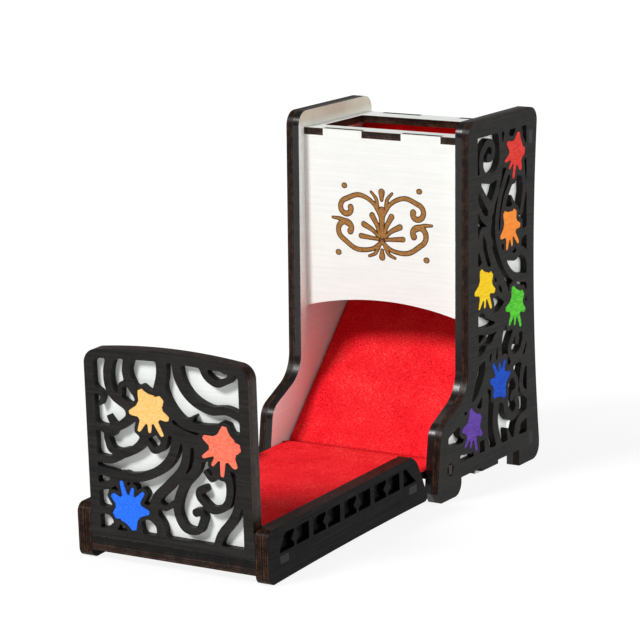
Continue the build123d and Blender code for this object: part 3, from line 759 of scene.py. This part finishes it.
END_FIELD = (
    (-32.4, 70.2), (-32.4, 5.0), (32.4, 5.0), (32.4, 70.2),
    (30.6, 71.9), (20, 72.6), (0, 73.4), (-20, 72.6), (-30.6, 71.9),
)
END_STROKES = (
    (((-23.5, 75), (-26, 67), (-24.5, 59), (-17, 54)), 3.7, 3.5),
    (((-33, 60), (-29, 57.5), (-30, 54)), 2.3, 1.2),
    (((-15.5, 75), (-17.5, 68), (-15, 62), (-11, 58)), 3.5, 3.5),
    (((-16, 63.5), (-20, 62.5), (-20.5, 59)), 2.5, 1.8),
    (((-1.5, 75), (-1.5, 68), (-4, 60)), 4.8, 4.4),
    (((5, 75), (6.5, 67), (11.5, 60.5), (19.5, 57), (27, 57.5), (34, 55)), 4.0, 3.0),
    (((16.5, 75), (18.5, 70), (23, 67.5), (27.5, 69)), 3.2, 2.3, (2.6, 170, 0.6), 3.2),
    (((-2, 64), (1, 57), (7, 51), (15, 49.5), (22, 50)), 3.3, 3.5),
    (((9, 51), (12.5, 54)), 2.6, 0.9),
    (((-3, 50), (6, 46), (14, 44), (21, 43)), 4.8, 5.3),
    (((30, 47), (35, 46)), 4.4, 4.4),
    (((-15, 51), (-22, 46), (-28, 44.5), (-34, 46)), 3.7, 2.6),
    (((-24, 45.5), (-26.5, 49.5)), 2.3, 1.1),
    (((-9, 46), (-12.5, 40), (-19, 36), (-25.5, 36.5), (-27.5, 40.5)), 3.7, 2.3, (2.4, -130, 0.6), 3.2),
    (((-19, 36.5), (-26, 32.5), (-34, 33)), 3.0, 2.8),
    (((-1, 47), (-2, 41), (-6, 38.5), (-8.5, 41)), 3.3, 2.1),
    (((5, 46), (1, 36), (-7, 29.5), (-18, 26.5), (-34, 28)), 3.9, 3.2),
    (((9, 45), (7, 34), (0, 26), (-6, 20), (-8, 13)), 3.5, 3.9),
    (
        ((14, 44), (12.5, 34), (6, 26), (3, 17), (6, 10), (12, 9.5), (14.5, 14)),
        3.7, 2.5, (2.4, 160, 0.6), 3.4,
    ),
    (((24, 38), (27, 29.5), (25.5, 21.5), (19, 18.5), (14, 22)), 3.5, 2.5, (2.8, -150, 0.6), 3.2),
    (((22, 36), (19.5, 30.5), (16.5, 33)), 2.6, 1.8),
    (((31, 40), (31.5, 29), (29, 18), (22.5, 9.5), (20, 3)), 3.3, 3.3),
    (((-34, 21), (-28, 22.5), (-20, 27)), 2.8, 3.2),
    (((-34, 12.5), (-27, 12)), 3.0, 3.0),
    (((-25, 7), (-30, 3)), 2.6, 3.0),
    (((-10, 14), (-5, 9.5), (-4.5, 3)), 4.0, 4.4),
    (((-7, 18), (-2, 16.5), (1, 19)), 2.8, 1.6),
    (((-16, 8), (-15, 3)), 4.4, 5.3),
)

# How the openings are found, in millimetres and square millimetres
WALL_MARGIN = 2.0
END_MARGIN = 1.4
GRID = 0.3
FILLET = 1.2
SLACK = 0.02
SMALLEST_OPENING = 0.8
SAME_PLACE = 1.0


def middle(loop):
    """The middle of a loop's box"""
    return (loop.min(axis=0) + loop.max(axis=0)) / 2


def fret_openings(field, strokes, margin, closed):
    """Openings of a field that its strokes, its border and a margin round each closed outline leave"""
    outline = np.array(field, float)
    low = outline.min(axis=0) - 1.0
    high = outline.max(axis=0) + 1.0
    columns = np.arange(low[0], high[0], GRID)
    rows = np.arange(low[1], high[1], GRID)
    solid = -outline_distance(outline, columns, rows)
    for entry in strokes:
        solid = join_softly(solid, stroke_distance(*stroke(*entry), columns, rows), FILLET)
    for loop in closed:
        solid = join_softly(solid, outline_distance(loop, columns, rows) - margin, FILLET)
    loops = [loop for loop in contours(solid, columns, rows) if loop_area(loop) > SMALLEST_OPENING]
    return [thinned(loop, SLACK) for loop in loops]


def fret_board(name, node, body, place, inlays, field, strokes, margin, soot):
    """A board cut as fretwork in place of a CAD board, with the same outline, joinery and inlays"""
    outline, *holes = face_loops(node, place)
    inlay_spots = [middle(face_loops(inlay, place)[0]) for inlay in inlays]
    right = max(spot[0] for spot in field)
    bottom = min(spot[1] for spot in field)
    kept = []
    for hole in holes:
        spot = middle(hole)
        is_inlay = any(np.linalg.norm(spot - other) < SAME_PLACE for other in inlay_spots)
        if is_inlay or spot[0] > right or spot[1] < bottom:
            kept.append(hole)
    openings = fret_openings(field, strokes, margin, kept)
    outward = 1 if max(place["out"], key=abs) > 0 else -1
    face = plywood(f"{name}_ply", node, BLACK_FACE, BROWN_EDGE, place["across"], outward)
    piece = plate(name, place, [[outline] + kept + openings], (0.0, PLY), (face, soot))
    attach(piece, body)
    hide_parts(node)


def make_frets():
    """Fretwork of both walls and of the end panel"""
    # Sides of the openings: soot, painted nearly black for the shade inside them
    soot = soot_and_shade_material()
    wall_origin = Vector((0, wall_front, 0))
    for side, out in (("right", x_axis), ("left", -x_axis)):
        place = drawing(f"wall_outer_{side}", out, y_axis, z_axis, wall_origin)
        inlays = [f"blot_{colour}_{side}" for colour in INLAY_COLOURS]
        fret_board(
            f"fret_wall_{side}", f"wall_outer_{side}", "tower", place, inlays, WALL_FIELD, WALL_STROKES,
            WALL_MARGIN, soot,
        )
    place = drawing("end_fret", -board_normal("end_fret"), x_axis, tray_up, pivot)
    inlays = [f"blot_{colour}_end" for colour in END_COLOURS]
    fret_board("fret_end", "end_fret", "tray", place, inlays, END_FIELD, END_STROKES, END_MARGIN, soot)


# Burnt ornament in the middle of the front panel, in place of lettering. Its left half mirrors the right.

ORNAMENT_HEIGHT = 107.8 * MM
ORNAMENT_GRID = 0.12
ORNAMENT_FILLET = 0.5
ORNAMENT_BOX = ((-27, -18), (27, 18))
ORNAMENT_RIM = 0.4
RIM_PROUD = 0.03 * MM
BURN_PROUD = 0.05 * MM
BURNT_LINES = (500, 500, 2600)
ORNAMENT_STROKES = (
    (((0.0, -8.2), (5, -11.6), (12.5, -12.0), (19, -8.0)), 1.1, 2.0, (4.4, 275, 0.42), 2.3),
    (((0.6, 2.6), (4.5, 8.2), (11, 10.8), (17.5, 8.6)), 1.0, 1.9, (3.7, -275, 0.42), 2.1),
    (((0.9, -5.8), (2.2, -1.6), (4.6, 2.6)), 0.8, 2.0),
    (((1.4, -6.2), (4.6, -3.4), (8.6, -1.4)), 0.8, 1.9),
    (((1.8, -7.2), (5.6, -6.8), (10, -6.4)), 0.8, 1.6),
    (((20.8, -14.2), (21.2, -14.2)), 1.7, 1.7),
    (((17.6, 14.2), (18.0, 14.2)), 1.6, 1.6),
    (((16.4, -1.6), (19.6, 0.0), (23.6, 0.4)), 1.7, 0.5),
    (((1.6, -10.0), (3.2, -13.2), (6.2, -14.6)), 1.4, 0.5),
    (((2.2, 6.0), (2.6, 9.6), (5.0, 12.4)), 1.4, 0.5),
    (((0, -6.4), (0, 0), (0, 5.0)), 0.8, 2.3),
    (((0, 9.4), (0, 12.6)), 0.7, 2.1),
    (((0, -11.8), (0, -14.6)), 0.7, 2.0),
)


def burnt_material(name, dark, light):
    """Wood scorched in fine lines, as an engraving laser leaves it"""
    graph = Graph(name)
    place = graph.node("TexCoord", "Object")
    lines = graph.noise(graph.stretched(place, BURNT_LINES), 1.0, 3.0, 0.6)
    return graph.finish(
        Base_Color=graph.ramp(lines, ((0.35, dark), (0.65, light))),
        Roughness=0.8,
        Specular_IOR_Level=0.1,
        Normal=graph.bump(lines, 0.1 * MM, 0.8),
    )


def make_ornament():
    """The burnt ornament: a dark rim, painted shade of the engraving's sunken edge, and a lighter scroll
    on it
    """
    (left, bottom), (right, top) = ORNAMENT_BOX
    columns = np.arange(left, right, ORNAMENT_GRID)
    rows = np.arange(bottom, top, ORNAMENT_GRID)
    solid = np.full((len(rows), len(columns)), FAR)
    for entry in ORNAMENT_STROKES:
        line, halves = stroke(*entry)
        for mirrored in (line, line * (-1, 1)):
            solid = join_softly(solid, stroke_distance(mirrored, halves, columns, rows), ORNAMENT_FILLET)
    place = drawing("front_panel", -y_axis, x_axis, z_axis, Vector((0, 0, ORNAMENT_HEIGHT)))
    layers = (
        # The rim is burnt brown, darker than the scroll as painted shade at the engraving's sunken edge
        ("burnt_rim_shade", ORNAMENT_RIM, RIM_PROUD, srgb(58, 38, 22), srgb(92, 62, 36)),
        ("burnt_scroll", 0.0, BURN_PROUD, srgb(134, 90, 44), srgb(184, 136, 78)),
    )
    for name, spread, proud, dark, light in layers:
        loops = [thinned(loop, SLACK) for loop in contours(spread - solid, columns, rows)]
        holes = [loop for loop in loops if loop_area(loop) < 0]
        shapes = [
            [outline] + [hole for hole in holes if is_inside(hole[0], outline)]
            for outline in loops
            if loop_area(outline) > 0
        ]
        piece = plate(name, place, shapes, (-proud, 0.0), (burnt_material(name, dark, light),))
        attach(piece, "tower")


# Felt sheets

TUFT_SCALE = 1300
FELT_CLOUD_SCALE = 60
TUFT_SHARE = 0.75
FELT_TONES = (
    (0.36, srgb(176, 4, 20)),
    (0.43, srgb(236, 24, 38)),
    (0.55, srgb(252, 44, 52)),
    (0.66, srgb(255, 96, 84)),
)
FELT_CELL = 0.9 * MM
SOFT_RIM = 0.7 * MM
NAP = 0.16 * MM
NAP_SCALE = 900
OFF_BOARD = 0.02 * MM
FACING_UP = 0.3


def felt_material():
    """Short red felt: matted tufts of several reds, a soft sheen and a fine nap"""
    graph = Graph("red_felt")
    place = graph.node("TexCoord", "Object")
    tufts = graph.noise(place, TUFT_SCALE, 5.0, 0.75)
    clouds = graph.noise(place, FELT_CLOUD_SCALE, 3.0, 0.6)
    mingled = graph.math("MULTIPLY_ADD", clouds, 1 - TUFT_SHARE, graph.math("MULTIPLY", tufts, TUFT_SHARE))
    return graph.finish(
        Base_Color=graph.ramp(mingled, FELT_TONES),
        Roughness=0.95,
        Sheen_Weight=0.12,
        Sheen_Roughness=0.6,
        Sheen_Tint=srgb(255, 80, 66),
        Specular_IOR_Level=0.04,
        Normal=graph.bump(tufts, 0.3 * MM, 0.7),
    )


def napped_mesh(name, low, high, slope, up, level):
    """A sheet from one corner to the other, along X and a slope, with soft rims, a nap and a flat back"""
    columns, rows = (round((last - first) / FELT_CELL) for first, last in zip(low, high))
    built = bmesh.new()
    grid = []
    for row in range(rows + 1):
        run = low[1] + (high[1] - low[1]) * row / rows
        line = []
        for column in range(columns + 1):
            x = low[0] + (high[0] - low[0]) * column / columns
            rim = min(x - low[0], high[0] - x, run - low[1], high[1] - run)
            fall = SOFT_RIM * (1 - min(rim / SOFT_RIM, 1.0)) ** 2
            rough = noise.fractal(Vector((x, run, 0)) * NAP_SCALE, 1.0, 2.0, 3) * NAP
            height = level - NAP - fall + rough
            line.append(built.verts.new(x_axis * x + slope * run + up * height))
        grid.append(line)
    for near, far in zip(grid, grid[1:]):
        for corners in zip(near, near[1:], far[1:], far):
            built.faces.new(corners)
    skirt = bmesh.ops.extrude_edge_only(built, edges=[edge for edge in built.edges if edge.is_boundary])
    for item in skirt["geom"]:
        if isinstance(item, bmesh.types.BMVert):
            item.co += up * (level - FELT + OFF_BOARD - item.co.dot(up))
    bmesh.ops.holes_fill(built, edges=[edge for edge in built.edges if edge.is_boundary], sides=0)
    bmesh.ops.recalc_face_normals(built, faces=built.faces)
    mesh = bpy.data.meshes.new(name)
    built.to_mesh(mesh)
    built.free()
    mesh.shade_smooth()
    return mesh


def felt_sheet(name, node, body, material):
    """A felt sheet on its board, in the space of its CAD solid"""
    solid = frame["nodes"][node].data
    top = max((face for face in solid.polygons if face.normal.z > FACING_UP), key=lambda face: face.area)
    up = top.normal.copy()
    down_slope = x_axis.cross(up).normalized()
    level = max(vertex.co.dot(up) for vertex in solid.vertices)
    corners = [vertex.co for vertex in solid.vertices if level - vertex.co.dot(up) < 10 * FINE]
    spots = np.array([(corner.x, corner.dot(down_slope)) for corner in corners])
    low = spots.min(axis=0).tolist()
    high = spots.max(axis=0).tolist()
    mesh = napped_mesh(name, low, high, down_slope, up, level)
    mesh.materials.append(material)
    piece = in_scene(name, mesh)
    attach(piece, body)
    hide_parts(node)


def make_felts():
    """Felt on the three ramps and on the tray's floor"""
    material = felt_material()
    for name, node, board, body in (
        ("exit_felt", "exit_ramp_felt", "exit_ramp", "tower"),
        ("middle_felt", "middle_ramp_felt", "middle_ramp", "tower"),
        ("upper_felt", "upper_ramp_felt", "upper_ramp", "tower"),
        ("tray_lining", "tray_felt", "tray_floor", "tray"),
    ):
        felt_sheet(name, node, body, material)


# Stage: a pale floor, an even surround and two soft lights

FLOOR_HALF = 8.0
FLOOR_DROP = 0.3 * MM
GLOW_STRENGTH = 1.05

# The floor's share of glow near the object, and the distances over which it grows to 1
FLOOR_GLOW = 0.84
SHADOW_REACH = (0.16, 0.40)

WORLD_LIGHT = 0.20
KEY_FROM = (-0.324, -0.694, 0.643)
KEY_STRENGTH = 2.75
KEY_ANGLE = math.radians(18)
SIDE_FROM = (0.95, 0.24, 0.20)
SIDE_STRENGTH = 1.6
SIDE_ANGLE = math.radians(40)


def add_glow(graph):
    """Lets the floor read almost white where it is looked at, and keeps a part of its shadow"""
    output = next(node for node in graph.tree.nodes if node.bl_idname == "ShaderNodeOutputMaterial")
    lit = output.inputs["Surface"].links[0].from_socket
    path = graph.tree.nodes.new("ShaderNodeLightPath")
    seen = graph.math("MAXIMUM", path.outputs["Is Camera Ray"], path.outputs["Is Glossy Ray"])
    place = graph.node("TexCoord", "Object")
    radius = graph.node("VectorMath", "Value", {"operation": "LENGTH"}, in0=place)
    near, far = SHADOW_REACH
    share = graph.node(
        "MapRange", 0, None, Value=radius, From_Min=near, From_Max=far, To_Min=FLOOR_GLOW, To_Max=1.0,
    )
    glow = graph.node("Emission", 0, None, Color=WHITE, Strength=GLOW_STRENGTH)
    both = graph.node("MixShader", 0, None, in0=graph.math("MULTIPLY", seen, share), in1=lit, in2=glow)
    graph.put(output.inputs["Surface"], both)


def make_floor():
    """Plain pale floor"""
    graph = Graph("floor")
    haze = graph.noise(graph.node("TexCoord", "Object"), 2.0, 2.0, 0.5)
    material = graph.finish(
        Base_Color=graph.mix(haze, srgb(250, 250, 250), srgb(253, 253, 253)),
        Roughness=0.9,
        Specular_IOR_Level=0.1,
    )
    add_glow(graph)
    mesh = bpy.data.meshes.new("floor")
    corners = [(x * FLOOR_HALF, y * FLOOR_HALF, 0) for x, y in ((-1, -1), (1, -1), (1, 1), (-1, 1))]
    mesh.from_pydata(corners, [], [(0, 1, 2, 3)])
    mesh.materials.append(material)
    floor = in_scene("floor", mesh)
    floor.location.z = -FLOOR_DROP


def make_world():
    """Even light from all round, white where the camera looks"""
    world = bpy.data.worlds.new("studio")
    world.use_nodes = True
    nodes = world.node_tree.nodes
    links = world.node_tree.links
    nodes.clear()
    mix = nodes.new("ShaderNodeMixShader")
    for socket, colour, strength in ((1, srgb(250, 251, 255), WORLD_LIGHT), (2, WHITE, 1.0)):
        background = nodes.new("ShaderNodeBackground")
        background.inputs["Color"].default_value = colour
        background.inputs["Strength"].default_value = strength
        links.new(background.outputs[0], mix.inputs[socket])
    links.new(nodes.new("ShaderNodeLightPath").outputs["Is Camera Ray"], mix.inputs[0])
    links.new(mix.outputs[0], nodes.new("ShaderNodeOutputWorld").inputs["Surface"])
    bpy.context.scene.world = world


def make_sun(name, source, strength, angle):
    """Soft light from far away in the direction of source"""
    data = bpy.data.lights.new(name, "SUN")
    data.energy = strength
    data.angle = angle
    in_scene(name, data).rotation_euler = Vector(source).to_track_quat("Z", "Y").to_euler()


def make_lights():
    """A key light from the left front, and a side light on the right wall"""
    make_sun("key", KEY_FROM, KEY_STRENGTH, KEY_ANGLE)
    make_sun("side", SIDE_FROM, SIDE_STRENGTH, SIDE_ANGLE)


# Camera, at the photograph's viewing angle

AZIMUTH = math.radians(31.32)
ELEVATION = math.radians(12.00)
ROLL = math.radians(-0.865)
DISTANCE = 1.2687
TARGET_X = -28.07 * MM
TARGET_HEIGHT = 64.63 * MM
SENSOR = 36.0
FAR_CLIP = 30

# Focal length as a share of the picture's width, from the photograph
FOCAL_SHARE = 3023 / 640


def make_camera():
    """The camera, turned a little about its own axis"""
    target = Vector((TARGET_X, wall_front, TARGET_HEIGHT))
    level = math.cos(ELEVATION)
    back = Vector((math.sin(AZIMUTH) * level, -math.cos(AZIMUTH) * level, math.sin(ELEVATION)))
    right = z_axis.cross(back).normalized()
    up = back.cross(right)
    rolled_right = right * math.cos(ROLL) + up * math.sin(ROLL)
    rolled_up = up * math.cos(ROLL) - right * math.sin(ROLL)
    turn = Matrix((rolled_right, rolled_up, back)).transposed()
    data = bpy.data.cameras.new("camera")
    data.sensor_width = SENSOR
    data.lens = FOCAL_SHARE * SENSOR
    data.clip_end = FAR_CLIP
    camera = in_scene("camera", data)
    camera.matrix_world = Matrix.Translation(target + back * DISTANCE) @ turn.to_4x4()
    bpy.context.scene.camera = camera


make_camera()
dress_boards()
dress_inlays()
make_frets()
make_ornament()
make_felts()
make_floor()
make_world()
make_lights()
bpy.context.scene.view_settings.view_transform = "Standard"
